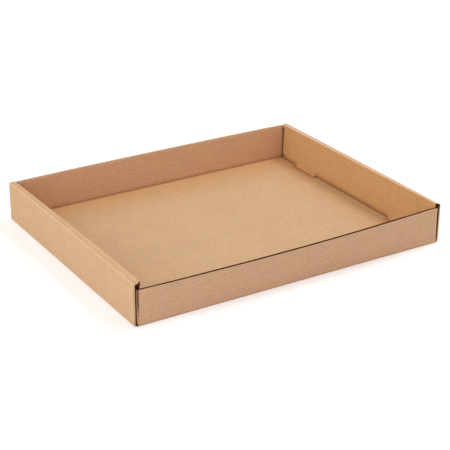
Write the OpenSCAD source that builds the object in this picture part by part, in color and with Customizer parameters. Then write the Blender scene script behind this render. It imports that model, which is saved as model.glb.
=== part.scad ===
// Open corrugated cardboard tray with roll-over ends, folded from one die-cut
// sheet. The front and back walls are one board thick and bow outwards. Each end
// rises, turns over a double-creased ridge and comes down again inside, where its
// two tabs drop through slots in the floor and trap the corner flaps of the
// walls. The floor lies on z = 0 and the whole outline is centred on the origin.
// The ridges were pressed flat at the back and spring up towards the front.

/* [Tray] */
// Length over the outer faces of the two ends
tray_w = 460; // [300:5:700]
// Depth over the outer faces of the front and back walls, at their bottom folds
tray_d = 362; // [280:2:600]
// Height of the front wall, and of the corner flaps of both walls
wall_h = 51; // [35:1:110]
// How much higher the back wall stands between the two ends
back_rise = 3.2; // [0:0.2:6]
// How far the top of the front wall bows outwards at its middle
front_bow = 7; // [0:0.5:12]
// How far the top of the back wall bows outwards at its middle
back_bow = 2.5; // [0:0.5:12]

/* [Board] */
// Thickness of the corrugated board
board = 3; // [2:0.25:4]
// Inside radius of every fold
fold_r = 0.5; // [0.3:0.1:0.9]
// Outside radius of every fold, where the crease rule has crushed the board
crease_r = 2; // [1:0.25:2.25]
// Clearance between two boards that lie face to face
ply_gap = 0.35; // [0.2:0.05:1]

/* [Rolled ends] */
// Clearance between the top of the corner flaps and the start of the ridge's folds
ridge_gap = 0.6; // [0.4:0.1:4]
// Rise of the ridge towards the inside of the tray at its front end, in degrees
front_tilt = 28; // [0:1:35]
// The same at its back end
back_tilt = 5; // [0:1:35]
// Clearance along the back wall between the ridge and the step up to full height
step_gap = 1.5; // [0.5:0.1:4]
// Clearance between each upright edge of the inner panel and the wall beside it
panel_gap = 1.1; // [0.5:0.1:4]
// Clearance between the lower edge of the inner panel and the floor
seat_gap = 0.7; // [0.3:0.1:2]
// Bevel of the two lower corners of the inner panel
panel_bevel = 5; // [1:0.5:12]
// Width of the small cut at the lower corners of the outer panel
relief_w = 1.2; // [0.5:0.1:2.5]
// Height of that cut
relief_h = 5; // [4.5:0.25:9]

/* [Tabs and slots] */
// Width of one tab
tab_w = 50; // [20:1:70]
// Distance from the corner of the tray to the near edge of the tab
tab_inset = 46; // [20:1:60]
// Bevel of the tips of the tabs
tab_bevel = 1.5; // [0.5:0.25:2.5]
// How far the tips of the tabs stay above the underside of the floor
tab_lift = 0.4; // [0.2:0.1:0.8]
// Width of the slot beyond the tab, on the side of the load space
slot_open = 2.4; // [0.5:0.1:4]
// Clearance between the tab and the slot on the outer side and at both ends
slot_gap = 0.5; // [0.3:0.1:1]

/* [Corner flaps] */
// Length of a corner flap from the outer face of its wall
flap_len = 90; // [30:1:125]
// Bevel of the two free corners of a flap
flap_bevel = 7; // [1:0.5:14]
// Clearance between the lower edge of a flap and the floor
flap_lift = 1.5; // [0.8:0.1:4]

/* [Hidden] */
$fn = 48;
// Distance from a fold's outer face to where its inside starts to curve
fold_out = fold_r + board;
// Board thicknesses and clearances that one rolled end packs together
roll_w = 3 * board + 2 * ply_gap;
// Outer face of a corner flap, and the edge of the wall's face beyond its corner fold
flap_x = board + ply_gap;
wall_x = flap_x + crease_r;
// Place along a wall where the ridge no longer covers it
step_x = roll_w + step_gap;
// Height of the ridge's outer crease, of the ends of its legs and of the panels below it
ridge_z = wall_h + ridge_gap + fold_out;
leg_z = wall_h + ridge_gap / 2;
panel_top = ridge_z - crease_r;
// Outer face of the inner panel, and the distance of its upright edges from the corners
panel_x = roll_w - board;
panel_y = board + panel_gap;
// Front wall's outer face at the fold, which centres the bowed outline on y = 0
front_y = -(tray_d - front_bow + back_bow) / 2;
// Straight board on each side of a fold, before a panel may lean or step
fold_leg = 1;
// Level at which an upright wall may start to lean
foot_z = fold_out + fold_leg;
// Steps along a bowed wall, along the ridge and round one fold
bow_steps = 28;
ridge_steps = 8;
arc_steps = 6;
// How square-shouldered the bow of a wall is
bow_power = 2.5;

// Points along an arc, from one angle to another
function arc(centre, radius, from, to) =
    [for (i = [0:arc_steps])
        let (angle = from + (to - from) * i / arc_steps)
        centre + radius * [cos(angle), sin(angle)]];

// Quarter fold about the Z axis with its outer corner at the origin, and a short
// straight leg of board along each panel that it joins
module fold(length) {
    leg_end = fold_out + fold_leg;
    linear_extrude(length)
        polygon(concat(
            [[leg_end, 0]],
            arc([crease_r, crease_r], crease_r, 270, 180),
            [[0, leg_end], [board, leg_end]],
            arc([fold_out, fold_out], fold_r, 180, 270),
            [[leg_end, board]]
        ));
}

// Bent board through a row of rings, each up one of its faces and back down the other
module board_loft(rings) {
    count = len(rings[0]);
    last = count * (len(rings) - 1);
    sides = [for (i = [0:count:last - count], k = [0:count - 1])
        let (next = (k + 1) % count)
        each [
            [i + k, i + next, i + count + k],
            [i + next, i + count + next, i + count + k]
        ]];
    near_end = [for (k = [0:count / 2 - 2])
        [count - 1 - k, count - 2 - k, k + 1, k]];
    far_end = [for (face = near_end)
        [for (k = [3:-1:0]) last + face[k]]];
    polyhedron(
        points = [for (ring = rings) each ring],
        faces = concat(sides, near_end, far_end)
    );
}

// Turns a flat outline in X and Y, or a fold about Z, to lie along the X axis
module along_x() {
    rotate([90, 0, 90])
        children();
}

// The same for the Y axis, with the length running to +Y
module along_y(length) {
    translate([0, length, 0])
        rotate([90, 0, 0])
            children();
}

// Slot with round ends that takes one tab, drawn from the tab's near edge
module slot_outline() {
    width = board + slot_gap + slot_open;
    translate([panel_x - slot_gap, -slot_gap])
        square([width, tab_w + 2 * slot_gap]);
    for (end_y = [-slot_gap, tab_w + slot_gap])
        translate([panel_x - slot_gap + width / 2, end_y])
            circle(d = width);
}

// Base of the tray, with two slots along each end
module floor_panel() {
    linear_extrude(board)
        difference() {
            translate([fold_out, fold_out])
                square([tray_w - 2 * fold_out, tray_d - 2 * fold_out]);
            for (near = [tab_inset, tray_d - tab_inset - tab_w]) {
                translate([0, near])
                    slot_outline();
                translate([tray_w, near])
                    mirror([1, 0])
                        slot_outline();
            }
        }
}

// Outer panel of an end, cut back a little at its two lower corners
module outer_panel() {
    along_x()
        linear_extrude(board)
            polygon([
                [relief_w, fold_out],
                [0, relief_h],
                [0, panel_top],
                [tray_d, panel_top],
                [tray_d, relief_h],
                [tray_d - relief_w, fold_out]
            ]);
}

// Centre of a round of the ridge, from its distance inwards, radius and the slope
function ridge_centre(x, radius, tilt) =
    [x, ridge_z + x * tan(tilt) - radius / cos(tilt)];

// Section of the ridge for one slope: over both creases, and back along the inside
function ridge_section(tilt) =
    let (strip = 90 + tilt)
    concat(
        [[0, leg_z]],
        arc(ridge_centre(crease_r, crease_r, tilt), crease_r, 180, strip),
        arc(ridge_centre(roll_w - crease_r, crease_r, tilt), crease_r, strip, 0),
        [[roll_w, leg_z], [panel_x, leg_z]],
        arc(ridge_centre(roll_w - fold_out, fold_out, tilt), fold_r, 0, strip),
        arc(ridge_centre(fold_out, fold_out, tilt), fold_r, strip, 180),
        [[board, leg_z]]
    );

// Ridge of an end: two creases with a narrow strip between them, which is nearly
// level at the back and slopes more and more towards the front
module ridge() {
    board_loft([for (i = [0:ridge_steps])
        let (share = i / ridge_steps)
        let (tilt = back_tilt + (front_tilt - back_tilt) * share)
        [for (point = ridge_section(tilt))
            [point[0], tray_d * (1 - share), point[1]]]]);
}

// Tab at the lower edge of the inner panel, from its near edge
module tab_outline() {
    polygon([
        [0, tab_lift + tab_bevel],
        [tab_bevel, tab_lift],
        [tab_w - tab_bevel, tab_lift],
        [tab_w, tab_lift + tab_bevel],
        [tab_w, board + seat_gap],
        [0, board + seat_gap]
    ]);
}

// Inner panel of an end, with bevelled lower corners and two tabs
module inner_panel() {
    edge_z = board + seat_gap;
    translate([panel_x, 0, 0])
        along_x()
            linear_extrude(board) {
                polygon([
                    [panel_y + panel_bevel, edge_z],
                    [panel_y, edge_z + panel_bevel],
                    [panel_y, panel_top],
                    [tray_d - panel_y, panel_top],
                    [tray_d - panel_y, edge_z + panel_bevel],
                    [tray_d - panel_y - panel_bevel, edge_z]
                ]);
                for (near = [tab_inset, tray_d - tab_inset - tab_w])
                    translate([near, 0])
                        tab_outline();
            }
}

// One rolled end with its bottom fold, from its outer face at x = 0 inwards
module rolled_end() {
    fold_length = tray_d - 2 * relief_w;
    translate([0, relief_w, 0])
        along_y(fold_length)
            fold(fold_length);
    outer_panel();
    ridge();
    inner_panel();
}

// Outward lean of a wall at one share of the length that bows, as an angle
function wall_lean(bow, top_z, share) =
    asin(bow * (1 - pow(abs(2 * share - 1), bow_power)) / (top_z - foot_z));

// The six corners of a wall's section at one place along it, for one lean
function wall_ring(x, top_z, lean) =
    let (reach = (top_z - foot_z) * [-sin(lean), cos(lean)])
    let (thick = board * [cos(lean), sin(lean)])
    [
        [x, 0, fold_out],
        [x, 0, foot_z],
        [x, reach[0], foot_z + reach[1]],
        [x, reach[0] + thick[0], foot_z + reach[1] + thick[1]],
        [x, board, foot_z],
        [x, board, fold_out]
    ];

// Upright part of a wall between the ridges, bowed outwards along its top
module bowed_panel(bow, top_z) {
    first = step_x + fold_leg;
    bowed = tray_w - 2 * first;
    board_loft(concat(
        [wall_ring(step_x, top_z, 0)],
        [for (i = [0:bow_steps])
            wall_ring(
                first + bowed * i / bow_steps, top_z,
                wall_lean(bow, top_z, i / bow_steps)
            )],
        [wall_ring(tray_w - step_x, top_z, 0)]
    ));
}

// End of a wall beside and below the ridge, with the corner flap that turns off it
// and lies behind the outer panel of the left end
module corner_flap() {
    edge_z = board + flap_lift;
    translate([wall_x, 0, fold_out])
        cube([step_x + fold_leg - wall_x, board, wall_h - fold_out]);
    translate([flap_x, 0, edge_z])
        fold(wall_h - edge_z);
    translate([flap_x, 0, 0])
        along_x()
            linear_extrude(board)
                polygon([
                    [fold_out, edge_z],
                    [flap_len - flap_bevel, edge_z],
                    [flap_len, edge_z + flap_bevel],
                    [flap_len, wall_h - flap_bevel],
                    [flap_len - flap_bevel, wall_h],
                    [fold_out, wall_h]
                ]);
}

// One wall with its bottom fold and the two corner flaps, outer face at y = 0
module wall(bow, top_z) {
    translate([wall_x, 0, 0])
        along_x()
            fold(tray_w - 2 * wall_x);
    bowed_panel(bow, top_z);
    corner_flap();
    translate([tray_w, 0, 0])
        mirror([1, 0, 0])
            corner_flap();
}

// The whole folded sheet
module tray() {
    color("#c79a6b")
        translate([-tray_w / 2, front_y, 0]) {
            floor_panel();
            rolled_end();
            translate([tray_w, 0, 0])
                mirror([1, 0, 0])
                    rolled_end();
            wall(front_bow, wall_h);
            translate([0, tray_d, 0])
                mirror([0, 1, 0])
                    wall(back_bow, wall_h + back_rise);
        }
}

tray();
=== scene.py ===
import math

import bpy
import numpy as np
from mathutils import Matrix, Vector
from mathutils.geometry import delaunay_2d_cdt


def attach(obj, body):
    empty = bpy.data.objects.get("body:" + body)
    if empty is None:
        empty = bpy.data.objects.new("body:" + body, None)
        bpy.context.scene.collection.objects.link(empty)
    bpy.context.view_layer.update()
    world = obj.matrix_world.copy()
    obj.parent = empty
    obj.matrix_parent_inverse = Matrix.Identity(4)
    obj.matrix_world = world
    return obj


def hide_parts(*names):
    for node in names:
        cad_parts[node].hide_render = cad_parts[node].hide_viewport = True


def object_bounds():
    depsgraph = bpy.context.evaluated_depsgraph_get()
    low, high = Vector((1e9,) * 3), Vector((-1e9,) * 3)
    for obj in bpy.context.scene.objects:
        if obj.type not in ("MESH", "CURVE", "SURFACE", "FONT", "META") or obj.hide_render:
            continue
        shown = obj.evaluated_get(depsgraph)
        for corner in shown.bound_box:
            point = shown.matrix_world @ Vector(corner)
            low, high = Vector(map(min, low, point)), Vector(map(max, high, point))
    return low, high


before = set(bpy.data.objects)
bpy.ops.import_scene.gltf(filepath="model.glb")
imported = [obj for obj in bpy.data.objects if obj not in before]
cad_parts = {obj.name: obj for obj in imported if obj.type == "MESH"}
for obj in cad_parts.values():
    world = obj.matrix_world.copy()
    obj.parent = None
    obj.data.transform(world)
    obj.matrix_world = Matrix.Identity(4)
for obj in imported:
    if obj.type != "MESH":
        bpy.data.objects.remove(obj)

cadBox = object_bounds()
scene = bpy.context.scene
scene.view_settings.view_transform = "Standard"
print("frame loaded:", cadBox)

# The tray is one die-cut sheet. It is drawn flat here, in millimetres, and folded up
# by foldSheet. u runs along the tray and v across it, both from the left front corner
# of the folded outline, and w runs through the board from its outside to its inside.
sheet = {
    "wallH": 51.0,          # front wall and corner flaps
    "backRise": 3.2,        # how much higher the back wall stands
    "frontBow": 7.0, "backBow": 2.5,
    "board": 3.0, "liner": 0.3, "foldR": 0.5, "creaseR": 2.0, "plyGap": 0.35,
    "ridgeGap": 0.6,
    "tilt": {"left": (28.0, 0.0), "right": (25.0, 8.0)},    # ridge slope, front and back
    "panelGap": 1.1, "seatGap": 0.9, "panelBevel": 5.0,
    "reliefH": 5.0, "stepGap": 1.5,
    "tabW": 50.0, "frontTabW": 45.4, "tabInset": 46.0, "tabBevel": 1.5, "tabLift": 0.4,
    "slotOpen": 2.4, "slotGap": 0.3, "slotHide": 2.0, "slotTouch": 0.15,
    "flapLen": 90.0, "flapBevel": 7.0, "flapLift": 1.5,
    "bowPower": 2.5,
    "flutePitch": 6.5,      # B flute, crest to crest
    "paperHalf": 0.14,      # half the thickness of the fluted paper
    "cutDepth": 3.0, "shutDepth": 0.3,        # how deep an open and a crushed cut are
    "endCut": {"left": (2.0, 1.2), "right": (1.2, 1.2)},    # ends set back, front and back
    "press": 0.35, "pressReach": 7.0,         # board squeezed thin beside its end cuts
    "setBack": (0.3, 1.7), "setBackAt": (4.9, 5.9),         # the wall beside its corner score
    "ridgeBow": {"left": 1.0, "right": 0.3},  # how much the ridges rise in their middle
    "ridgeDrop": {"left": 0.0, "right": 0.7}, "riseFrom": 20.0,
    "pinch": 1.0, "pinchReach": 50.0, "pinchFrom": 40.0,    # ridges narrower at the front
    "footIn": 3.3,          # how far the foot of an inner panel stands in
    "footBack": 0.6, "footBackReach": 22.0,   # less so at its back end
    "backEdge": 2.0,        # inner panels end this much further from the back wall
    "tabIn": 1.2, "tabBendZ": 15.0, "tabSide": 2.0,         # tabs bent in towards the floor
    "frontTop": ((11.2, -2.8), (115.0, -1.2), (245.0, -0.4), (370.0, 0.8), (448.8, 0.6)),
    "ripple": 0.5,          # how far the panels are out of flat, always to the inside
    # how far in it starts: floor; up and along an end; up and along a wall
    "rippleFade": {"floor": 60.0, "end": (20.0, 30.0), "wall": (25.0, 40.0)},
    "gridStep": 10.0, "panelStep": 7.0,
}

board, foldR, creaseR = sheet["board"], sheet["foldR"], sheet["creaseR"]
trayW = round((cadBox[1][0] - cadBox[0][0]) * 1000, 2)
trayD = round((cadBox[1][1] - cadBox[0][1]) * 1000 - sheet["frontBow"] - sheet["backBow"], 2)
nearly = 1e-3                                 # millimetres that count as touching
foldOut = foldR + board
rollW = 3 * board + 2 * sheet["plyGap"]
flapX = board + sheet["plyGap"]
flatX = flapX + foldOut                       # where the wall starts to be flat
stepX = rollW + sheet["stepGap"]
ridgeZ = sheet["wallH"] + sheet["ridgeGap"] + foldOut
legZ = sheet["wallH"] + sheet["ridgeGap"] / 2
panelX = rollW - board
panelY = board + sheet["panelGap"]
edgeZ = board + sheet["seatGap"]
flapZ = board + sheet["flapLift"]
footZ = foldOut + 1.0                         # where a wall starts to lean

legLen = foldOut - creaseR                    # straight part of a fold on its outside
foldLen = 2 * legLen + creaseR * math.pi / 2
stripLen = rollW - 2 * foldOut
upright = ridgeZ - 2 * foldOut                # height of the outer panel between folds
# places along an end, measured over its outside from the floor outwards
aPanel = foldLen
aCrease = aPanel + upright
aStrip = aCrease + foldLen
aTurn = aStrip + stripLen
aInner = aTurn + foldLen
aEdge = aInner + ridgeZ - foldOut - edgeZ
aTab = aEdge + edgeZ - sheet["tabLift"]
crushedTo = {"left": aTurn + foldLen / 2, "right": aCrease - 2.5}    # cut edges pressed shut
notchU = foldOut + 0.3                        # end of the narrow strip beside a corner
wallEdge = foldOut + 0.4                      # where a wall starts beside it
# the same along a wall and along a corner flap
bTop = foldLen + sheet["wallH"] - foldOut
bFlap = foldLen + flapZ - foldOut
cEnd = foldLen + sheet["flapLen"] - foldOut


def polar(angle):
    return np.stack([np.cos(angle), np.sin(angle)], -1)


# One fold. share runs from 0 to 1 across it. The inside keeps a small round and the
# outside is flattened to a tighter one, with a straight leg on each side.
def bend(share, innerCentre, outerCentre, start, end):
    start, end = np.radians(start) + 0 * share, np.radians(end) + 0 * share
    leg = legLen / foldLen
    turned = np.clip((share - leg) / (1 - 2 * leg), 0, 1)
    inner = innerCentre + foldR * polar(start + (end - start) * share)
    outer = outerCentre + creaseR * polar(start + (end - start) * turned)
    before = np.clip(1 - share / leg, 0, 1)[:, None]
    after = np.clip((share - 1 + leg) / leg, 0, 1)[:, None]
    outer = outer + before * (innerCentre + foldOut * polar(start) - outer)
    outer = outer + after * (innerCentre + foldOut * polar(end) - outer)
    return outer, inner


def ridgeCentre(x, radius, slope):
    return np.stack([x + 0 * slope, ridgeZ + x * np.tan(slope) - radius / np.cos(slope)], -1)


# An end: up the outer panel, over the ridge's two creases and down the inner panel.
# Returns the outside and inside as distance inwards and height.
def endProfile(a, slope):
    tilt = np.degrees(slope)
    near, far = foldOut, rollW - foldOut
    nearC, farC = ridgeCentre(near, foldOut, slope), ridgeCentre(far, foldOut, slope)
    zero = 0 * a
    outer, inner = bend(np.clip(a / foldLen, 0, 1), np.array([foldOut, foldOut]),
                        np.array([creaseR, creaseR]), 270, 180)
    up = foldOut + (a - aPanel) / upright * (nearC[:, 1] - foldOut)
    panel = (np.stack([zero, up], -1), np.stack([zero + board, up], -1))
    firstCrease = bend(np.clip((a - aCrease) / foldLen, 0, 1), nearC,
                       ridgeCentre(creaseR, creaseR, slope), 180, 90 + tilt)
    along = ((a - aStrip) / stripLen)[:, None]
    middle = nearC + along * (farC - nearC)
    across = polar(np.pi / 2 + slope)
    strip = (middle + foldOut * across, middle + foldR * across)
    secondCrease = bend(np.clip((a - aTurn) / foldLen, 0, 1), farC,
                        ridgeCentre(rollW - creaseR, creaseR, slope), 90 + tilt, 0)
    down = farC[:, 1] - (a - aInner) / (aEdge - aInner) * (farC[:, 1] - edgeZ)
    down = np.where(a > aEdge, edgeZ - (a - aEdge), down)
    roll = (np.stack([zero + rollW, down], -1), np.stack([zero + panelX, down], -1))
    for start, part in ((aPanel, panel), (aCrease, firstCrease), (aStrip, strip),
                        (aTurn, secondCrease), (aInner, roll)):
        past = (a > start)[:, None]
        outer, inner = np.where(past, part[0], outer), np.where(past, part[1], inner)
    return outer, inner


# How much of a wall's bow shows at a place, 0 at its ends and 1 in its middle
def bowShare(near):
    first = stepX + 1.0
    share = np.clip((near - first) / (trayW - 2 * first), 0, 1)
    return 1 - np.abs(2 * share - 1) ** sheet["bowPower"]


# A wall: up from its bottom fold, leaning out more and more towards the middle.
# Returns the outside and inside as distance inwards and height.
def wallProfile(b, x, bow, topZ):
    outer, inner = bend(np.clip(b / foldLen, 0, 1), np.array([foldOut, foldOut]),
                        np.array([creaseR, creaseR]), 270, 180)
    lean = np.arcsin(bow * bowShare(x) / (topZ - footZ))
    z = foldOut + b - foldLen
    high = np.clip(z - footZ, 0, None)
    face = np.stack([-np.sin(lean) * high, np.minimum(z, footZ) + np.cos(lean) * high], -1)
    through = np.stack([np.cos(lean), np.sin(lean) * (z > footZ)], -1) * board
    past = (b > foldLen)[:, None]
    return np.where(past, face, outer), np.where(past, face + through, inner)


# Long low waves of the panels, from 0 to 1
def rippleAt(u, v):
    long = np.sin(u / 23.0 + 1.3) * np.cos(v / 17.0 + 0.4)
    slanting = np.sin((u + 0.6 * v) / 31.0 + 2.1)
    return 0.5 + 0.25 * (long + slanting)


# 0 at both ends of a stretch and 1 well inside it
def inside(value, low, high, margin):
    return np.clip(np.minimum(value - low, high - value) / margin, 0, 1)


# Flat place (u, v, w) to folded place (x, y, z), for whole arrays at once
def foldSheet(u, v, w):
    u, v, w = (np.asarray(k, float) for k in np.broadcast_arrays(u, v, w))
    place = np.stack([u, v, w], -1)
    deep = (w / board)[:, None]
    endV = (v >= -nearly) & (v <= trayD + nearly)
    endU = (u < notchU) | (u > trayW - notchU)
    ripple = sheet["ripple"] * rippleAt(u, v)
    fade = sheet["rippleFade"]
    floorShare = inside(u, foldOut, trayW - foldOut, fade["floor"])
    floorShare *= inside(v, foldOut, trayD - foldOut, fade["floor"])
    place[:, 2] += ripple * floorShare
    for side in ("left", "right"):
        own = u if side == "left" else trayW - u
        a = foldOut - own
        on = (a > 0) & endV
        front, back = (math.radians(k) for k in sheet["tilt"][side])
        slope = front + (back - front) * np.clip(v / trayD, 0, 1)
        frontCut, backCut = sheet["endCut"][side]
        fromCut = np.clip(np.minimum(v - frontCut, trayD - backCut - v), 0, None)
        press = 1 - sheet["press"] * np.exp(-fromCut / sheet["pressReach"])
        outer, inner = endProfile(a, slope)
        both = outer + deep * press[:, None] * (inner - outer)
        alongEnd = inside(v, 0, trayD, fade["end"][1])
        x = both[:, 0] + ripple * inside(a, aPanel, aCrease, fade["end"][0]) * alongEnd
        x -= ripple * inside(a, aInner, aEdge, fade["end"][0]) * alongEnd * 0.5
        rise = sheet["ridgeBow"][side] * (1 - (2 * v / trayD - 1) ** 2) - sheet["ridgeDrop"][side]
        z = both[:, 1]
        z = z + rise * np.clip((z - sheet["riseFrom"]) / (ridgeZ - sheet["riseFrom"]), 0, 1)
        pinch = sheet["pinch"] * np.exp(-(v / sheet["pinchReach"]) ** 2)
        high = np.clip((z - sheet["pinchFrom"]) / (ridgeZ - sheet["pinchFrom"]), 0, 1)
        x -= pinch * x / rollW * (a > aCrease) * high
        down = np.clip((ridgeZ - foldOut - z) / (ridgeZ - foldOut - edgeZ), 0, 1.1)
        lessIn = sheet["footBack"] * np.exp(-((trayD - v) / sheet["footBackReach"]) ** 2)
        x += sheet["footIn"] * (1 - lessIn) * down * (a > aTurn)
        near = sheet["tabInset"]
        far = near + np.where(v < trayD / 2, sheet["frontTabW"], sheet["tabW"])
        half = np.minimum(v, trayD - v)
        beside = sheet["tabSide"]
        onTab = inside(half, near - beside, far + beside, beside)
        bent = np.clip((sheet["tabBendZ"] - z) / (sheet["tabBendZ"] - edgeZ), 0, 1.2) ** 1.5
        x += sheet["tabIn"] * bent * onTab * (a > aTurn)
        x = x if side == "left" else trayW - x
        place[on] = np.stack([x, v, z], -1)[on]
    for side in ("front", "back"):
        own = v if side == "front" else trayD - v
        b = foldOut - own
        on = (b > 0) & ~(endV & endU)
        bow = sheet["frontBow"] if side == "front" else sheet["backBow"]
        topZ = sheet["wallH"] + (0 if side == "front" else sheet["backRise"])
        mirrored = u > trayW / 2
        near = np.where(mirrored, trayW - u, u)
        outer, inner = wallProfile(b, near, bow, topZ)
        c = np.clip(flatX - near, 0, None)
        turnOut, turnIn = bend(np.clip(c / foldLen, 0, 1), np.array([foldOut, foldOut]),
                               np.array([creaseR, creaseR]), 270, 180)
        past = np.clip(c - foldLen, 0, None)
        low, high = sheet["setBack"]
        start, end = sheet["setBackAt"]
        back = low + (high - low) * np.clip(b / bTop, 0, 1)
        back *= np.clip((end - near) / (end - start), 0, 1)
        back *= np.clip(b / foldLen, 0, 1)
        alongWall = inside(near, stepX, trayW, fade["wall"][1])
        back += ripple * inside(b, foldLen, bTop, fade["wall"][0]) * alongWall
        xOut = np.where(c > 0, flapX + turnOut[:, 0], near)
        xIn = np.where(c > 0, flapX + turnIn[:, 0], near)
        lifted = b > foldLen
        yOut = outer[:, 0] + lifted * (turnOut[:, 1] * (c > 0) + past)
        yIn = inner[:, 0] + lifted * ((turnIn[:, 1] - board) * (c > 0) + past)
        xs = xOut + deep[:, 0] * (xIn - xOut)
        ys = yOut + deep[:, 0] * (yIn - yOut) + back
        zs = outer[:, 1] + deep[:, 0] * (inner[:, 1] - outer[:, 1])
        xs = np.where(mirrored, trayW - xs, xs)
        ys = ys if side == "front" else trayD - ys
        place[on] = np.stack([xs, ys, zs], -1)[on]
    middleY = (sheet["backBow"] - sheet["frontBow"]) / 2
    place -= np.array([trayW / 2, trayD / 2 + middleY, 0])
    return place / 1000


# How far along an end the inner panel reaches down to a height, for one ridge slope
def reachOf(z, degrees):
    slope = math.radians(degrees)
    top = ridgeZ + (rollW - foldOut) * math.tan(slope) - foldOut / math.cos(slope)
    return aInner + (top - z) / (top - edgeZ) * (aEdge - aInner)


# Half of one end's outline, from its middle to the corner, as (a, v), and on over the
# corner flap to the middle of the wall, as (u, b). front is True for the front half.
def quarterOutline(side, front):
    s = sheet
    tabNear = s["tabInset"]
    tabFar = tabNear + s["frontTabW" if front else "tabW"]
    leg = reachOf(legZ, s["tilt"][side][0 if front else 1])
    cut = s["endCut"][side][0 if front else 1]
    notch = notchU - foldOut - 0.05
    panelEnd = panelY + (0 if front else s["backEdge"])
    end = [
        (aEdge, tabFar), (aTab - s["tabBevel"], tabFar), (aTab, tabFar - s["tabBevel"]),
        (aTab, tabNear + s["tabBevel"]), (aTab - s["tabBevel"], tabNear), (aEdge, tabNear),
        (aEdge, panelEnd + s["panelBevel"]), (aEdge - s["panelBevel"], panelEnd),
        (leg, panelEnd), (leg, cut), (aPanel + s["reliefH"] - foldOut, cut),
        (aPanel, cut + 0.4), (-notch, cut + 0.4), (-notch, foldOut),
    ]
    points = [(foldOut - a, v) for a, v in end]
    wall = [
        (wallEdge, 0), (wallEdge, bFlap), (flatX - cEnd + s["flapBevel"], bFlap),
        (flatX - cEnd, bFlap + s["flapBevel"]), (flatX - cEnd, bTop - s["flapBevel"]),
        (flatX - cEnd + s["flapBevel"], bTop),
    ]
    if front and side == "left":
        wall[-2] = (flatX - cEnd, bTop + s["frontTop"][0][1] - s["flapBevel"])
        wall[-1] = (flatX - cEnd + s["flapBevel"], bTop + s["frontTop"][0][1])
        wall += [(u, bTop + rise) for u, rise in s["frontTop"]]
    if front and side == "right":
        wall.append((stepX, bTop))
    if not front:
        wall += [(stepX, bTop), (stepX, bTop + s["backRise"])]
    return points + [(u, foldOut - b) for u, b in wall]


def wholeOutline():
    flipU = lambda points: [(trayW - u, v) for u, v in points]
    flipV = lambda points: [(u, trayD - v) for u, v in points]
    loop = quarterOutline("left", True)
    loop += flipU(quarterOutline("right", True))[::-1]
    loop += flipU(flipV(quarterOutline("right", False)))
    loop += flipV(quarterOutline("left", False))[::-1]
    return loop


# A floor slot with round ends, clockwise, for one end and one tab. Its inner edge
# touches the bent tab. It is longer than the tab on the side towards the front.
def slotOutline(side, near, tabWidth):
    width = board + sheet["slotGap"] + sheet["slotOpen"]
    middle = rollW + sheet["footIn"] + sheet["tabIn"] + sheet["slotTouch"] - width / 2
    low = near - sheet["slotGap"]
    high = near + tabWidth - sheet["slotHide"]
    steps = 10
    points = []
    for centre, start in ((high, 180.0), (low, 0.0)):
        for i in range(steps + 1):
            angle = math.radians(start - 180.0 * i / steps)
            points.append((middle + width / 2 * math.cos(angle),
                           centre + width / 2 * math.sin(angle)))
    if side == "right":
        points = [(trayW - u, v) for u, v in points][::-1]
    return points


def foldStations(start, direction):
    shares = [0, legLen / foldLen / 2] + [
        (legLen + (foldLen - 2 * legLen) * i / 6) / foldLen for i in range(7)
    ] + [1 - legLen / foldLen / 2, 1]
    return [start + direction * foldLen * k for k in shares]


def spread(low, high, step):
    count = max(1, round(abs(high - low) / step))
    return [low + (high - low) * i / count for i in range(count + 1)]


# Lines across the flat sheet on which it gets vertices, so that every fold is round
def stationLines():
    s = sheet
    outwards = foldStations(0, 1)
    outwards += spread(aPanel, aCrease, s["panelStep"])
    outwards += foldStations(aCrease, 1) + spread(aStrip, aTurn, 1.0)
    outwards += foldStations(aTurn, 1) + spread(aInner, aEdge, s["panelStep"])
    endU = [foldOut - a for a in outwards]
    endU += [trayW - u for u in endU]
    floorU = spread(foldOut, trayW - foldOut, s["gridStep"])
    floorV = spread(foldOut, trayD - foldOut, s["gridStep"])
    wallU = [flatX - c for c in foldStations(0, 1)]
    wallU += spread(s["setBackAt"][1], s["setBackAt"][0], 0.25)
    wallU += spread(flatX - foldLen, flatX - cEnd, s["gridStep"])
    wallU += [trayW - u for u in wallU]
    wallB = foldStations(0, 1) + [foldLen + 1.0]
    wallB += spread(foldLen + 1.0, bTop, s["panelStep"])
    wallV = [foldOut - b for b in wallB]
    wallV += [trayD - v for v in wallV]
    return endU, floorU, floorV, wallU, wallV


# Cuts an outline into short steps, also at every station line that it crosses. A cut
# across the flutes gets eight steps a flute, so that their wave shows.
def shortSteps(loop, uLines, vLines):
    points = []
    for (u0, v0), (u1, v1) in zip(loop, loop[1:] + loop[:1]):
        length = math.hypot(u1 - u0, v1 - v0)
        acrossFlutes = abs(v1 - v0) > 0.9 * length
        step = sheet["flutePitch"] / 8 if acrossFlutes else 5.0
        cuts = {0.0}
        for k0, k1, lines in ((u0, u1, uLines), (v0, v1, vLines)):
            if abs(k1 - k0) > 1e-6:
                cuts.update((k - k0) / (k1 - k0) for k in lines
                            if 0 < (k - k0) / (k1 - k0) < 1)
        inner = sorted(cuts) + [1.0]
        merged = [inner[0]]
        for k in inner[1:-1]:
            if (k - merged[-1]) * length > 0.12 and (1 - k) * length > 0.12:
                merged.append(k)
        merged.append(1.0)
        for k0, k1 in zip(merged, merged[1:]):
            count = max(1, math.ceil((k1 - k0) * length / step - 1e-6))
            for i in range(count):
                k = k0 + (k1 - k0) * i / count
                points.append((u0 + k * (u1 - u0), v0 + k * (v1 - v0)))
    return np.array(points)


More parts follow.
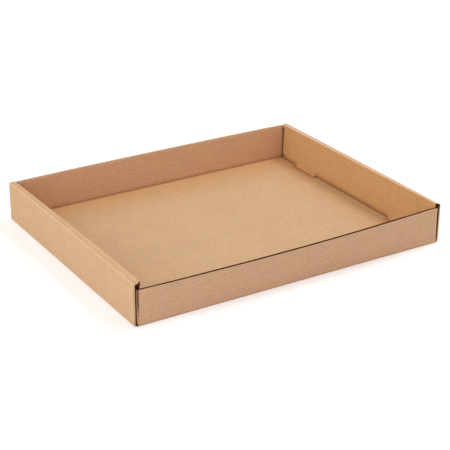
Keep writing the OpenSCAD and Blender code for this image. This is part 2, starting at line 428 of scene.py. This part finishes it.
# True for points inside a loop, by counting crossings
def insideLoop(points, loop):
    isIn = np.zeros(len(points), bool)
    for (u0, v0), (u1, v1) in zip(loop, np.roll(loop, -1, 0)):
        if v0 == v1:
            continue
        crosses = (v0 > points[:, 1]) != (v1 > points[:, 1])
        at = u0 + (points[:, 1] - v0) / (v1 - v0) * (u1 - u0)
        isIn ^= crosses & (points[:, 0] < at)
    return isIn


def distanceToLoop(points, loop):
    nearest = np.full(len(points), 1e9)
    for start, end in zip(loop, np.roll(loop, -1, 0)):
        along = end - start
        share = np.clip((points - start) @ along / (along @ along), 0, 1)
        gap = np.hypot(*(points - start - share[:, None] * along).T)
        nearest = np.minimum(nearest, gap)
    return nearest


# Triangles of the flat sheet. Returns its points, its triangles and its edge loops.
def meshFlat():
    endU, floorU, floorV, wallU, wallV = stationLines()
    uLines, vLines = endU + floorU + wallU, floorV + wallV
    outline = np.array(wholeOutline())
    loops = [shortSteps([tuple(k) for k in outline], uLines, vLines)]
    holes = []
    for side in ("left", "right"):
        holes.append(slotOutline(side, sheet["tabInset"], sheet["frontTabW"]))
        backTab = trayD - sheet["tabInset"] - sheet["tabW"]
        holes.append(slotOutline(side, backTab, sheet["tabW"]))
    loops += [shortSteps(hole, [], vLines) for hole in holes]
    nearEdge = [1.8, 2.6, 3.5, 5.0, 8.0]
    nearEdge += [trayD - v for v in nearEdge]
    grids = [(floorU, floorV), (endU, floorV + nearEdge), (floorU + wallU, wallV)]
    inner = np.array([(u, v) for us, vs in grids for u in us for v in vs])
    inner = np.unique(np.round(inner, 5), axis=0)
    keep = insideLoop(inner, outline) & (distanceToLoop(inner, outline) > 0.3)
    for hole in holes:
        hole = np.array(hole)
        keep &= ~insideLoop(inner, hole) & (distanceToLoop(inner, hole) > 0.5)
    inner = inner[keep]
    points, edges, ranges = [], [], []
    for loop in loops:
        first = len(points)
        points += [Vector(k) for k in loop]
        edges += [(first + i, first + (i + 1) % len(loop)) for i in range(len(loop))]
        ranges.append((first, len(loop)))
    points += [Vector(k) for k in inner]
    made = delaunay_2d_cdt(points, edges, [], 0, 1e-7)
    flat = np.array([tuple(k) for k in made[0]])
    newIndex = {old: new for new, olds in enumerate(made[3]) for old in olds}
    triangles = np.array([k for k in made[2] if len(k) == 3])
    middles = flat[triangles].mean(1)
    keep = insideLoop(middles, loops[0])
    for hole in loops[1:]:
        keep &= ~insideLoop(middles, hole)
    edgeLoops = [[newIndex[first + i] for i in range(count)] for first, count in ranges]
    return flat, triangles[keep], edgeLoops


# Inward direction at each point of an edge loop, mitred at its corners
def inwards(flat, loop):
    at = flat[loop]
    ahead = np.roll(at, -1, 0) - at
    ahead /= np.linalg.norm(ahead, axis=1)[:, None]
    left = np.stack([-ahead[:, 1], ahead[:, 0]], -1)
    both = left + np.roll(left, 1, 0)
    size = np.clip((both ** 2).sum(1) / 2, 0.5, None)
    return both / size[:, None], ahead


# The cut edge: two thin liners with the fluted paper between them. Each edge point
# gets a ring of ten points through the board. The fluted paper stands at the height
# that the flute has there, and the hollows on both sides of it are cutDepth deep.
def edgeRings(flat, loop):
    inward, ahead = inwards(flat, loop)
    at = flat[loop]
    liner, half = sheet["liner"], sheet["paperHalf"]
    alongV = np.abs(ahead[:, 1]) > 0.9
    acrossFlutes = alongV & np.roll(alongV, 1)
    lowest = liner + half + 0.05
    wave = board / 2 + (board / 2 - lowest) * np.sin(2 * np.pi * at[:, 1] / sheet["flutePitch"])
    onEnd = (at[:, 0] < foldOut) | (at[:, 0] > trayW - foldOut)
    onEnd &= (at[:, 1] > -nearly) & (at[:, 1] < trayD + nearly) & ~acrossFlutes
    paper = np.where(acrossFlutes, wave, np.where(onEnd, board - lowest, lowest))
    # pressed shut: the lower part of the ends' cuts and the top of the back wall
    onLeft = at[:, 0] < trayW / 2
    reach = np.where(onLeft, at[:, 0], trayW - at[:, 0])
    pressedTo = np.where(onLeft, crushedTo["left"], crushedTo["right"])
    onTop = (at[:, 1] > trayD - foldOut + bTop) & (reach > stepX - 1)
    shut = (onEnd & (reach > foldOut - pressedTo)) | onTop
    open = np.where(shut, sheet["shutDepth"], sheet["cutDepth"])
    low, high = paper - half, paper + half
    ring = ((0, 0), (liner, 0), (liner, open), (low, open), (low, 0.1), (high, 0.1),
            (high, open), (board - liner, open), (board - liner, 0), (board, 0))
    levels = []
    for height, recess in ring:
        moved = at + inward * (recess + 0 * paper)[:, None]
        levels.append(np.column_stack([moved, height + 0 * paper]))
    return np.stack(levels, 1), shut


# Builds the folded sheet as one closed mesh. Its material slots are 0 for the liner, 1 for
# the fluting in an open cut and 2 for a cut that was pressed shut.
def buildTray():
    flat, triangles, loops = meshFlat()
    count = len(flat)
    places = [foldSheet(flat[:, 0], flat[:, 1], w) for w in (0.0, board)]
    blank = [np.column_stack([flat, np.full(count, w)]) for w in (0.0, board)]
    faces = [list(map(int, k[::-1])) for k in triangles]
    faces += [[int(i) + count for i in k] for k in triangles]
    slots = [0] * len(faces)
    total = 2 * count
    for loop in loops:
        rings, shut = edgeRings(flat, loop)
        size = len(loop)
        new = rings[:, 1:9].reshape(-1, 3)
        places.append(foldSheet(*new.T))
        blank.append(new)
        index = np.empty((size, 10), int)
        index[:, 0] = loop
        index[:, 9] = np.array(loop) + count
        index[:, 1:9] = total + np.arange(size * 8).reshape(size, 8)
        total += size * 8
        after = np.roll(index, -1, 0)
        for k in range(9):
            quads = np.stack([index[:, k], after[:, k], after[:, k + 1], index[:, k + 1]], 1)
            faces += quads.tolist()
            slotShut = 0 if k in (0, 8) else 2
            slots += [slotShut if pressed else 1 for pressed in shut]
    mesh = bpy.data.meshes.new("tray_sheet")
    mesh.from_pydata(np.concatenate(places).tolist(), [], faces)
    mesh.polygons.foreach_set("material_index", slots)
    smooth = [i < 2 * len(triangles) for i in range(len(faces))]
    mesh.polygons.foreach_set("use_smooth", smooth)
    flatPlace = mesh.attributes.new("flatPlace", "FLOAT_VECTOR", "POINT")
    flatPlace.data.foreach_set("vector", (np.concatenate(blank) / 1000).ravel().astype(np.float32))
    mesh.update()
    piece = bpy.data.objects.new("tray_sheet", mesh)
    scene.collection.objects.link(piece)
    print("sheet folded:", len(faces), "faces, valid:", not mesh.validate(verbose=False))
    return piece


# sRGB hex to linear
def colour(hexCode):
    parts = [int(hexCode[i:i + 2], 16) / 255 for i in (0, 2, 4)]
    return [k / 12.92 if k <= 0.04045 else ((k + 0.055) / 1.055) ** 2.4 for k in parts] + [1]


# Adds a node with its settings and links. A key of inputs is an input's name or place.
def addNode(tree, kind, inputs=None, **settings):
    node = tree.nodes.new("ShaderNode" + kind)
    for key, value in settings.items():
        setattr(node, key, value)
    for key, value in (inputs or {}).items():
        socket = node.inputs[key]
        if isinstance(value, bpy.types.NodeSocket):
            tree.links.new(value, socket)
        else:
            socket.default_value = value
    return node


def newMaterial(name):
    material = bpy.data.materials.new(name)
    material.use_nodes = True
    tree = material.node_tree
    return material, tree, tree.nodes["Principled BSDF"]


# Brightness patterns of the liner: size along and across the blank in mm, how much
# they change the tone, and detail. Fibres are about 0.05 mm wide and would vanish at
# this distance, so they are drawn as coarser threads.
kraft = {
    "yellow": "DCB488", "pink": "DBB18A", "hueSize": 30.0, "hueFrom": 0.35, "hueTo": 0.65,
    "patterns": (
        (60.0, 45.0, 0.07, 1.0),       # slow changes over the sheet
        (13.0, 10.0, 0.14, 3.0),       # clouds of thicker and thinner pulp
        (5.0, 4.0, 0.20, 2.0),         # clots of fibre
        (22.0, 2.4, 0.09, 2.0),        # streaks along the machine direction
        (2.1, 1.8, 0.56, 1.5),         # threads and grain
    ),
    "fleckSize": (3.6, 1.5), "fleckFrom": 0.68, "fleckSoft": 0.06, "fleckDeep": 0.2,
    # painted light and shade of the faint ridges where the flutes show through the liner
    "washboardShade": 0.03,                 # the flutes show through the liner
    "roughness": 0.88, "ior": 1.47,
    "bump": 0.12, "bumpDepth": 0.0004, "waveBump": 0.3,
}
# Painted highlights and painted shade along the folds and edges: direction, place on the
# blank in mm, half width with and without its soft border, side of the board, change of
# tone. On the inside a whole fold is squeezed into less than a millimetre, so its line,
# painted shade and partly crushed liner, starts wide.
creaseLightAndShade = (
    # paler: painted highlights on the ridge's two creases, partly paler stretched fibres
    ("end", aCrease + foldLen * 0.55, 0.9, 0, "outside", 0.28),
    ("end", aTurn + foldLen * 0.45, 0.9, 0, "outside", 0.26),
    # darker: painted shade on the ridge top between its creases and along the end's bottom fold
    ("end", (aStrip + aTurn) / 2, 1.6, 0, "outside", -0.09),
    ("end", foldLen / 2, 1.6, 0, "outside", -0.05),
    # paler: painted highlight just above the bottom edge of an inner panel
    ("end", aEdge + 0.6, 1.9, 0.6, "outside", 0.25),
    # paler: painted highlight below a wall's top edge; darker: painted shade along its bottom fold
    ("wall", bTop - 1.2, 1.0, 0, "outside", 0.10),
    ("wall", foldLen / 2 + 1.2, 1.3, 0, "outside", -0.14),
    # darker: painted shade in the inside folds, partly crushed liner, and below the back wall's top edge
    ("wall", foldLen / 2, foldLen / 2 + 3, foldLen / 2, "inside", -0.24),
    ("wall", bTop + sheet["backRise"] - 0.9, 1.0, 0, "inside", -0.22),
    ("end", foldLen / 2, foldLen / 2 + 3, foldLen / 2, "inside", -0.30),
)
# Colours that multiply the paper's own, all of them painted light and shade. It looks warmer
# and darker where light goes to and fro between two panels, darker where little light comes
# in, pinker on faces turned to the front and paler on the right ridge's top. Two of the darker
# ones stand partly for crushed paper too. The numbers are places, in mm or as a share of a fold.
tints = {
    # painted warm bounce light and shade on the inner end panels
    "roll": (0.91, 0.83, 0.63), "rollFrom": 0.6,       # inner end panels
    # painted shade on the floor near the back wall and near the ends
    "floorRim": (0.95, 0.87, 0.70), "rimBack": 95.0, "rimEnd": 75.0,
    # painted light on the walls: their faces turned to the front look pinker, the inside faces also darker
    "wallInsideLight": (0.98, 0.92, 0.95), "wallOutsideLight": (1.04, 0.99, 1.06),
    # inside a roll and in its corner gaps, where little light comes in
    "inRoll": (0.45, 0.27, 0.21), "inRollFrom": 0.7,
    "flap": (0.15, 0.07, 0.05), "gap": (0.5, 0.36, 0.3),
    # painted shadow on the floor under the inner panels' feet, and painted shade in the floor's folds,
    # partly crushed liner
    "footShadow": (0.50, 0.36, 0.28), "floorFold": (0.92, 0.76, 0.70), "foldSoft": (4.0, 1.0),
    # painted sheen: the right ridge's top paler and bluer where the light grazes it
    "rightRidgeSheen": (1.06, 1.09, 1.25), "ridgeShift": 1.0, "ridgeSoft": (1.5, 0.5),
    "strip": (0.74, 0.60, 0.53), "stripTop": (0.38, 0.32, 0.30),   # painted shade on the squashed corner scores, darker higher up
}
# Painted light beside the corners: place and half width of the strip along each corner score
# in mm from the end, painted shade on the left, partly squashed paper, and a painted
# highlight on the right; where the painted shade on the hidden flap starts and where that in
# the gap inside a wall starts; and between which heights the left strip's painted shade deepens
score = {
    "left": 4.8, "right": 5.9, "halfWidth": 1.4, "soft": 0.5, "pale": 0.22,
    "flapLeft": 3.3, "flapRight": 4.4, "gapFrom": 10.4,
    "from": 8.0, "to": 30.0,
}
# The painted shadow line on the floor under an inner panel: how far it stands back from the
# foot, and its width
footShadow = {"back": 0.8, "halfWidth": 1.3, "core": 0.7}


# Unbleached kraft liner: matt brown paper, cloudy, with streaks along the flutes, dark
# flecks and threads, faint ridges where the flutes press through, and painted highlights,
# painted shade and painted light tints at its folds, edges, corners and panels
def kraftLiner():
    material, tree, shader = newMaterial("unbleached kraft liner")
    node = lambda kind, inputs, **settings: addNode(tree, kind, inputs, **settings).outputs[0]

    # how far a value is from a place, on either side of it
    def awayFrom(value, at):
        past = node("Math", {0: value, 1: at}, operation="SUBTRACT")
        return node("Math", {0: past}, operation="ABSOLUTE")

    flat = addNode(tree, "Attribute", attribute_name="flatPlace").outputs["Vector"]
    place = node("VectorMath", {0: flat, 1: (1000, 1000, 1000)}, operation="MULTIPLY")
    parts = addNode(tree, "SeparateXYZ", {0: place})
    u, v, w = parts.outputs
    tone = 1.0 - 0.5 * sum(amount for _, _, amount, _ in kraft["patterns"])
    for alongSize, acrossSize, amount, detail in kraft["patterns"]:
        scaled = node("VectorMath", {0: place, 1: (1 / alongSize, 1 / acrossSize, 1)},
                      operation="MULTIPLY")
        noise = node("TexNoise", {"Vector": scaled, "Scale": 1, "Detail": detail})
        tone = node("Math", {0: noise, 1: amount, 2: tone}, operation="MULTIPLY_ADD")
    grain = noise
    along, across = kraft["fleckSize"]
    scaled = node("VectorMath", {0: place, 1: (1 / along, 1 / across, 1)}, operation="MULTIPLY")
    spots = node("TexNoise", {"Vector": scaled, "Scale": 1, "Detail": 1})
    fleck = node("MapRange", {0: spots, 1: kraft["fleckFrom"], 2: kraft["fleckFrom"] + kraft["fleckSoft"]})
    tone = node("Math", {0: fleck, 1: -kraft["fleckDeep"], 2: tone}, operation="MULTIPLY_ADD")
    # painted light and shade in bands across the flutes; the same wave also drives the bump
    turn = node("Math", {0: v, 1: 2 * math.pi / sheet["flutePitch"]}, operation="MULTIPLY")
    wave = node("Math", {0: turn}, operation="SINE")
    tone = node("Math", {0: wave, 1: kraft["washboardShade"] / 2, 2: tone}, operation="MULTIPLY_ADD")

    # both are 0 in the middle of the tray
    fromEnd = awayFrom(u, trayW / 2)
    fromWall = awayFrom(v, trayD / 2)
    isInside = node("Math", {0: w, 1: board / 2}, operation="GREATER_THAN")
    isOutside = node("Math", {0: 1.0, 1: isInside}, operation="SUBTRACT")
    for direction, at, halfWidth, core, side, change in creaseLightAndShade:
        start = (trayW if direction == "end" else trayD) / 2 - foldOut
        far = awayFrom(fromEnd if direction == "end" else fromWall, start + at)
        line = node("MapRange", {0: far, 1: halfWidth, 2: core}, interpolation_type="SMOOTHSTEP")
        line = node("Math", {0: line, 1: isInside if side == "inside" else isOutside},
                    operation="MULTIPLY")
        tone = node("Math", {0: line, 1: change, 2: tone}, operation="MULTIPLY_ADD")

    onWall = node("Math", {0: fromWall, 1: trayD / 2 - foldOut + foldLen / 2},
                  operation="GREATER_THAN")
    onWallOutside = node("Math", {0: onWall, 1: isOutside}, operation="MULTIPLY")
    onWallInside = node("Math", {0: onWall, 1: isInside}, operation="MULTIPLY")
    offWall = node("Math", {0: isInside, 1: onWallInside}, operation="SUBTRACT")
    # painted shadow: the dark line on the floor under the foot of each inner panel
    far = awayFrom(fromEnd, trayW / 2 - rollW - sheet["footIn"] + footShadow["back"])
    foot = node("MapRange", {0: far, 1: footShadow["halfWidth"], 2: footShadow["core"]})
    foot = node("Math", {0: foot, 1: offWall}, operation="MULTIPLY")
    # painted shade and highlight on the strip beside each corner score: dark on the left, more so
    # higher up, partly squashed paper, and a pale painted highlight on the right
    onLeft = node("Math", {0: u, 1: trayW / 2}, operation="LESS_THAN")
    stripAt = node("MapRange", {0: onLeft, 3: trayW / 2 - score["right"],
                                4: trayW / 2 - score["left"]})
    far = awayFrom(fromEnd, stripAt)
    strip = node("MapRange", {0: far, 1: score["halfWidth"],
                              2: score["halfWidth"] - score["soft"]})
    upWall = node("MapRange", {0: fromWall, 1: trayD / 2 + score["from"],
                               2: trayD / 2 + score["to"]}, interpolation_type="SMOOTHSTEP")
    strip = node("Math", {0: strip, 1: onWallOutside}, operation="MULTIPLY")
    stripLeft = node("Math", {0: strip, 1: onLeft}, operation="MULTIPLY")
    stripTop = node("Math", {0: stripLeft, 1: upWall}, operation="MULTIPLY")
    stripRight = node("Math", {0: strip, 1: stripLeft}, operation="SUBTRACT")
    tone = node("Math", {0: stripRight, 1: score["pale"], 2: tone}, operation="MULTIPLY_ADD")
    # painted shade on the corner flap seen in the gap at a corner, and in the gap inside each
    # wall beside an inner panel
    flapAt = node("MapRange", {0: onLeft, 3: trayW / 2 - score["flapRight"],
                               4: trayW / 2 - score["flapLeft"]})
    onFlap = node("Math", {0: fromEnd, 1: flapAt}, operation="GREATER_THAN")
    onFlap = node("Math", {0: onFlap, 1: onWallOutside}, operation="MULTIPLY")
    inGap = node("Math", {0: fromEnd, 1: trayW / 2 - score["gapFrom"]}, operation="GREATER_THAN")
    inGap = node("Math", {0: inGap, 1: onWallInside}, operation="MULTIPLY")

    scaled = node("VectorMath", {0: place, 1: (1 / kraft["hueSize"],) * 3}, operation="MULTIPLY")
    hue = node("TexNoise", {"Vector": scaled, "Scale": 1, "Detail": 3})
    hue = node("MapRange", {0: hue, 1: kraft["hueFrom"], 2: kraft["hueTo"]})
    paper = addNode(tree, "Mix", {"Factor": hue, "A": colour(kraft["yellow"]),
                                  "B": colour(kraft["pink"])}, data_type="RGBA").outputs["Result"]
    # both faces of the rolled ends: painted warm bounce light and shade on the inner panels,
    # painted shade inside the roll
    rollAt = trayW / 2 - foldOut + aTurn + foldLen * tints["rollFrom"]
    onRoll = node("Math", {0: fromEnd, 1: rollAt}, operation="GREATER_THAN")
    onRoll = node("Math", {0: onRoll, 1: isOutside}, operation="MULTIPLY")
    rollAt = trayW / 2 - foldOut + foldLen * tints["inRollFrom"]
    inRoll = node("Math", {0: fromEnd, 1: rollAt}, operation="GREATER_THAN")
    inRoll = node("Math", {0: inRoll, 1: isInside}, operation="MULTIPLY")
    # painted shade in the folds between the floor and the walls, partly crushed liner
    far = awayFrom(fromWall, trayD / 2 - foldOut + foldLen / 2)
    beyond, within = tints["foldSoft"]
    fold = node("MapRange", {0: far, 1: foldLen / 2 + beyond, 2: foldLen / 2 - within},
                interpolation_type="SMOOTHSTEP")
    fold = node("Math", {0: fold, 1: isInside}, operation="MULTIPLY")
    # painted sheen on the top of the right ridge
    ridgeMiddle = trayW / 2 - foldOut + (aCrease + aTurn + foldLen) / 2
    far = awayFrom(u, ridgeMiddle + trayW / 2 - tints["ridgeShift"])
    halfRidge = (aTurn - aCrease) / 2
    beyond, within = tints["ridgeSoft"]
    ridge = node("MapRange", {0: far, 1: halfRidge + beyond, 2: halfRidge - within})
    ridge = node("Math", {0: ridge, 1: isOutside}, operation="MULTIPLY")
    # painted shade on the floor near the back wall and near the ends
    rimBack = node("MapRange", {0: v, 1: trayD - tints["rimBack"], 2: trayD - foldOut},
                   interpolation_type="SMOOTHSTEP")
    rimEnd = node("MapRange", {0: fromEnd, 1: trayW / 2 - tints["rimEnd"], 2: trayW / 2 - rollW},
                  interpolation_type="SMOOTHSTEP")
    rim = node("Math", {0: rimBack, 1: rimEnd}, operation="MAXIMUM")
    rim = node("Math", {0: rim, 1: offWall}, operation="MULTIPLY")
    for share, tint in ((onRoll, "roll"), (onWallOutside, "wallOutsideLight"),
                        (onWallInside, "wallInsideLight"), (rim, "floorRim"), (onFlap, "flap"),
                        (inGap, "gap"), (inRoll, "inRoll"), (foot, "footShadow"), (fold, "floorFold"),
                        (ridge, "rightRidgeSheen"), (stripLeft, "strip"), (stripTop, "stripTop")):
        paper = addNode(tree, "Mix", {"Factor": share, "A": paper, "B": (*tints[tint], 1)},
                        data_type="RGBA", blend_type="MULTIPLY").outputs["Result"]
    paper = node("VectorMath", {0: paper, "Scale": tone}, operation="SCALE")
    tree.links.new(paper, shader.inputs["Base Color"])
    height = node("Math", {0: wave, 1: kraft["waveBump"], 2: grain}, operation="MULTIPLY_ADD")
    bump = addNode(tree, "Bump", {"Height": height, "Strength": kraft["bump"],
                                  "Distance": kraft["bumpDepth"]})
    tree.links.new(bump.outputs[0], shader.inputs["Normal"])
    shader.inputs["Roughness"].default_value = kraft["roughness"]
    shader.inputs["IOR"].default_value = kraft["ior"]
    return material


# Both kinds of cut edge are matt
cutEdge = {"specular": 0.1, "roughness": 0.95, "ior": 1.45}
fluting = {"paper": "985A34", "dark": "5C311D", "size": 2.5}


def makeMatt(shader):
    shader.inputs["Specular IOR Level"].default_value = cutEdge["specular"]
    shader.inputs["Roughness"].default_value = cutEdge["roughness"]
    shader.inputs["IOR"].default_value = cutEdge["ior"]


# Semi-chemical fluting paper: what a cut edge shows, darker and rougher than the liner
def fluteMedium():
    material, tree, shader = newMaterial("fluting paper at a cut edge")
    flat = addNode(tree, "Attribute", attribute_name="flatPlace").outputs["Vector"]
    noise = addNode(tree, "TexNoise", {"Vector": flat, "Scale": 1000 / fluting["size"], "Detail": 4})
    mix = addNode(tree, "Mix", {"Factor": noise.outputs["Fac"], "A": colour(fluting["paper"]),
                                "B": colour(fluting["dark"])}, data_type="RGBA")
    tree.links.new(mix.outputs["Result"], shader.inputs["Base Color"])
    makeMatt(shader)
    return material


crushed = {"paper": "EBCDA8", "dark": "CDA27A", "size": 1.6, "from": 0.4, "to": 0.7}


# Crushed board edge: pale, a painted highlight of the crushed edge catching the light
def crushedEdge():
    material, tree, shader = newMaterial("crushed board edge")
    flat = addNode(tree, "Attribute", attribute_name="flatPlace").outputs["Vector"]
    noise = addNode(tree, "TexNoise", {"Vector": flat, "Scale": 1000 / crushed["size"], "Detail": 4})
    torn = addNode(tree, "MapRange", {0: noise.outputs["Fac"], 1: crushed["from"],
                                      2: crushed["to"]})
    mix = addNode(tree, "Mix", {"Factor": torn.outputs[0], "A": colour(crushed["paper"]),
                                "B": colour(crushed["dark"])}, data_type="RGBA")
    tree.links.new(mix.outputs["Result"], shader.inputs["Base Color"])
    makeMatt(shader)
    return material


tray = buildTray()
tray.data.materials.append(kraftLiner())
tray.data.materials.append(fluteMedium())
tray.data.materials.append(crushedEdge())
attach(tray, "root")
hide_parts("tray")

view = {
    "azimuth": -31.945, "elevation": 24.577, "roll": 0.453,     # degrees
    "place": (-0.86808, -1.39972, 0.76212),                      # metres
    "lens": 106.7, "sensor": 36,
}


def addCamera():
    azimuth, elevation, roll = (math.radians(view[k]) for k in ("azimuth", "elevation", "roll"))
    back = Vector((math.sin(azimuth) * math.cos(elevation),
                   -math.cos(azimuth) * math.cos(elevation), math.sin(elevation)))
    right = Vector((math.cos(azimuth), math.sin(azimuth), 0))
    up = back.cross(right)
    turned = (right * math.cos(roll) + up * math.sin(roll),
              up * math.cos(roll) - right * math.sin(roll), back)
    camera = bpy.data.objects.new("camera", bpy.data.cameras.new("camera"))
    scene.collection.objects.link(camera)
    matrix = Matrix(turned).transposed().to_4x4()
    matrix.translation = Vector(view["place"])
    camera.matrix_world = matrix
    camera.data.lens = view["lens"]
    camera.data.sensor_width = view["sensor"]
    scene.camera = camera


studio = {
    "dome": 0.63, "domeColour": (1.0, 1.0, 1.0),
    # name: power in watts, size and place in metres, colour
    "lamps": {
        "low key": (19.0, 1.6, (-2.3, -0.5, 0.9), (1.0, 1.0, 1.0)),
        "high right": (13.0, 0.7, (1.05, 0.1, 2.0), (1.0, 1.0, 1.0)),
    },
    "floorColour": "EDEDED", "floorLift": 0.36, "floorSize": 8,
    "darkMargin": 0.006,    # metres by which the dark floor under the tray is smaller
}


def addLight(name, power, size, place, tint):
    lamp = bpy.data.lights.new(name, "AREA")
    lamp.energy, lamp.size, lamp.color = power, size, tint
    light = bpy.data.objects.new(name, lamp)
    scene.collection.objects.link(light)
    light.location = place
    light.rotation_euler = (-Vector(place)).to_track_quat("-Z", "Y").to_euler()


# A white dome, two soft lamps and a pale floor that looks white to the camera beside the
# tray but keeps a faint shadow, and stays dark under it
def addStudio():
    world = bpy.data.worlds.new("white dome")
    scene.world = world
    world.use_nodes = True
    tree = world.node_tree
    dome = tree.nodes["Background"]
    dome.inputs["Color"].default_value = (*studio["domeColour"], 1)
    dome.inputs["Strength"].default_value = studio["dome"]
    paper = addNode(tree, "Background", {"Color": (1, 1, 1, 1), "Strength": 1.0})
    path = addNode(tree, "LightPath")
    seen = addNode(tree, "MixShader", {0: path.outputs["Is Camera Ray"],
                                       1: dome.outputs[0], 2: paper.outputs[0]})
    tree.links.new(seen.outputs[0], tree.nodes["World Output"].inputs["Surface"])
    for name, lamp in studio["lamps"].items():
        addLight(name, *lamp)
    bpy.ops.mesh.primitive_plane_add(size=studio["floorSize"])
    floor = bpy.context.object
    floor.name = "studio_floor"
    material, tree, shader = newMaterial("white sweep")
    shader.inputs["Base Color"].default_value = colour(studio["floorColour"])
    shader.inputs["Roughness"].default_value = 0.9
    shader.inputs["Specular IOR Level"].default_value = 0
    path = addNode(tree, "LightPath")
    place = addNode(tree, "TexCoord").outputs["Object"]
    across = addNode(tree, "VectorMath", {0: place}, operation="ABSOLUTE").outputs[0]
    parts = addNode(tree, "SeparateXYZ", {0: across})
    margin = studio["darkMargin"]
    besideX = addNode(tree, "Math", {0: parts.outputs[0], 1: trayW / 2000 - margin},
                      operation="GREATER_THAN").outputs[0]
    besideY = addNode(tree, "Math", {0: parts.outputs[1], 1: trayD / 2000 - margin},
                      operation="GREATER_THAN").outputs[0]
    beside = addNode(tree, "Math", {0: besideX, 1: besideY}, operation="MAXIMUM").outputs[0]
    lift = addNode(tree, "Math", {0: beside, 1: studio["floorLift"]},
                   operation="MULTIPLY").outputs[0]
    glow = addNode(tree, "Emission", {"Color": (1, 1, 1, 1), "Strength": lift})
    added = addNode(tree, "AddShader", {0: shader.outputs[0], 1: glow.outputs[0]})
    seen = addNode(tree, "MixShader", {0: path.outputs["Is Camera Ray"],
                                       1: shader.outputs[0], 2: added.outputs[0]})
    tree.links.new(seen.outputs[0], tree.nodes["Material Output"].inputs["Surface"])
    floor.data.materials.append(material)
    print("studio set")


addCamera()
addStudio()
